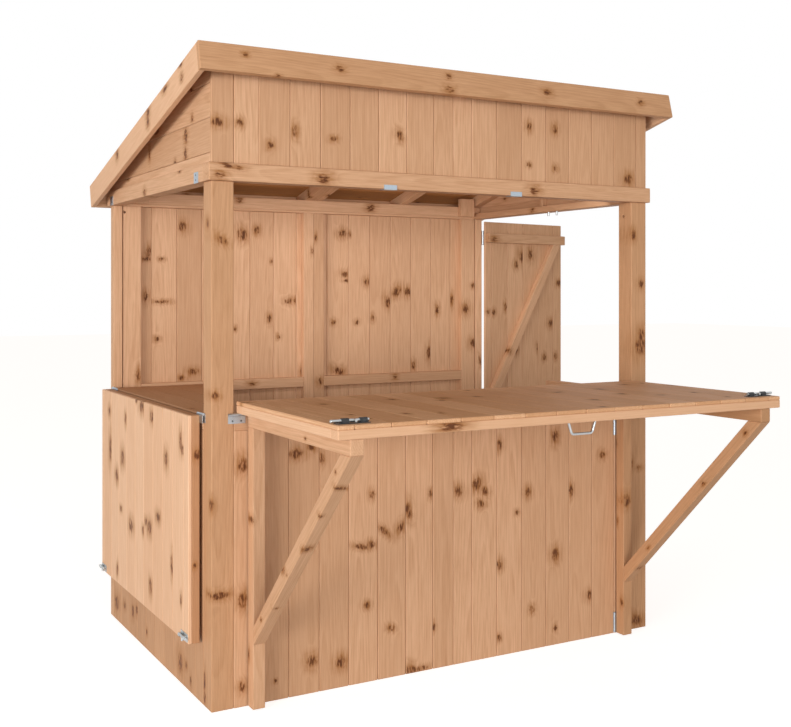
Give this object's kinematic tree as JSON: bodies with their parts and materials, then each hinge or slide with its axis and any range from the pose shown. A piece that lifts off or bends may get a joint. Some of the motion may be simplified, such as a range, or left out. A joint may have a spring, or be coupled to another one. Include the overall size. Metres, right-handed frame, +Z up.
{
  "type": "garden_bar",
  "caption": "Outdoor garden bar in matchboard, pent roof, drop-down front counter on swing brackets, hanging left hatch and open side door",
  "frame": {"origin": "underside of the front wall's bottom rail, in the middle of the front", "axes": "+X along the front to the right, +Y into the depth, +Z up"},
  "size_m": [2.4151, 2.0195, 2.0963],
  "materials": {
    "matchboard": "satin stain on tongue and groove boards",
    "framing": "satin stain on planed softwood",
    "felt": "mineral roofing felt",
    "zinc": "zinc plated",
    "japanned": "black japanned"
  },
  "bodies": {
    "bar": {"front_posts": "framing", "rear_posts": "framing", "front_beam": "framing", "side_beams": "framing", "rear_beam": "framing", "corner_blocks": "framing", "front_wall_boards": "matchboard", "front_wall_frame": "framing", "front_wall_rail": "framing", "left_wall_boards": "matchboard", "left_wall_frame": "framing", "left_wall_rail": "framing", "corner_shelf": "matchboard", "right_wall_boards": "matchboard", "right_wall_frame": "framing", "right_wall_rail": "framing", "back_wall_boards": "matchboard", "back_wall_frame": "framing", "front_panel_boards": "matchboard", "front_panel_frame": "framing", "gable_boards": "matchboard", "gable_studs": "framing", "rafters": "framing", "roof_boards": "matchboard", "roof_felt": "felt", "front_fascia": "framing", "rear_fascia": "framing", "barge_boards": "framing", "beam_plates": "zinc", "beam_pins": "zinc", "fixed_hinge_leaves": "zinc"},
    "front_hatch": {"front_hatch_frame": "framing", "front_hatch_boards": "matchboard", "front_hatch_hinge_leaves": "zinc", "front_hatch_handle": "zinc", "front_bolt_bodies": "japanned"},
    "front_left_bolt": {"front_left_shoot": "japanned"},
    "front_right_bolt": {"front_right_shoot": "japanned"},
    "left_hatch": {"left_hatch_boards": "matchboard", "left_hatch_frame": "framing", "left_hatch_hinge_leaves": "zinc", "left_hatch_bolt_bodies": "japanned"},
    "left_hatch_front_bolt": {"left_hatch_front_shoot": "japanned"},
    "left_hatch_rear_bolt": {"left_hatch_rear_shoot": "japanned"},
    "left_bracket": {"left_bracket_leg": "framing", "left_bracket_arm": "framing", "left_bracket_brace": "framing", "left_bracket_hinge_leaves": "zinc"},
    "right_bracket": {"right_bracket_leg": "framing", "right_bracket_arm": "framing", "right_bracket_brace": "framing", "right_bracket_hinge_leaves": "zinc"},
    "door": {"door_boards": "matchboard", "door_ledges": "framing", "door_braces": "framing", "door_hinge_leaves": "zinc"}
  },
  "joints": [
    {"name": "front_hatch_hinge", "type": "hinge", "parent": "bar", "child": "front_hatch", "pos_m": [0, -0.031, 0.933], "axis": [-1, 0, 0], "range_deg": [0, 90]},
    {"name": "left_hatch_hinge", "type": "hinge", "parent": "bar", "child": "left_hatch", "pos_m": [-0.905, 0.574, 0.933], "axis": [0, 1, 0], "range_deg": [0, 180]},
    {"name": "left_bracket_hinge", "type": "hinge", "parent": "bar", "child": "left_bracket", "pos_m": [-0.734, -0.031, 0.45], "axis": [0, 0, 1], "range_deg": [0, 90]},
    {"name": "right_bracket_hinge", "type": "hinge", "parent": "bar", "child": "right_bracket", "pos_m": [0.734, -0.031, 0.45], "axis": [0, 0, -1], "range_deg": [0, 90]},
    {"name": "door_hinge", "type": "hinge", "parent": "bar", "child": "door", "pos_m": [0.903, 1.126, 0.9], "axis": [0, 0, 1], "range_deg": [-100, 70]},
    {"name": "front_left_bolt_slide", "type": "slide", "parent": "front_hatch", "child": "front_left_bolt", "axis": [-1, 0, 0], "range_m": [-0.012, 0.012]},
    {"name": "front_right_bolt_slide", "type": "slide", "parent": "front_hatch", "child": "front_right_bolt", "axis": [1, 0, 0], "range_m": [-0.012, 0.012]},
    {"name": "left_hatch_front_bolt_slide", "type": "slide", "parent": "left_hatch", "child": "left_hatch_front_bolt", "axis": [0, -1, 0], "range_m": [-0.012, 0.012]},
    {"name": "left_hatch_rear_bolt_slide", "type": "slide", "parent": "left_hatch", "child": "left_hatch_rear_bolt", "axis": [0, 1, 0], "range_m": [-0.012, 0.012]}
  ]
}
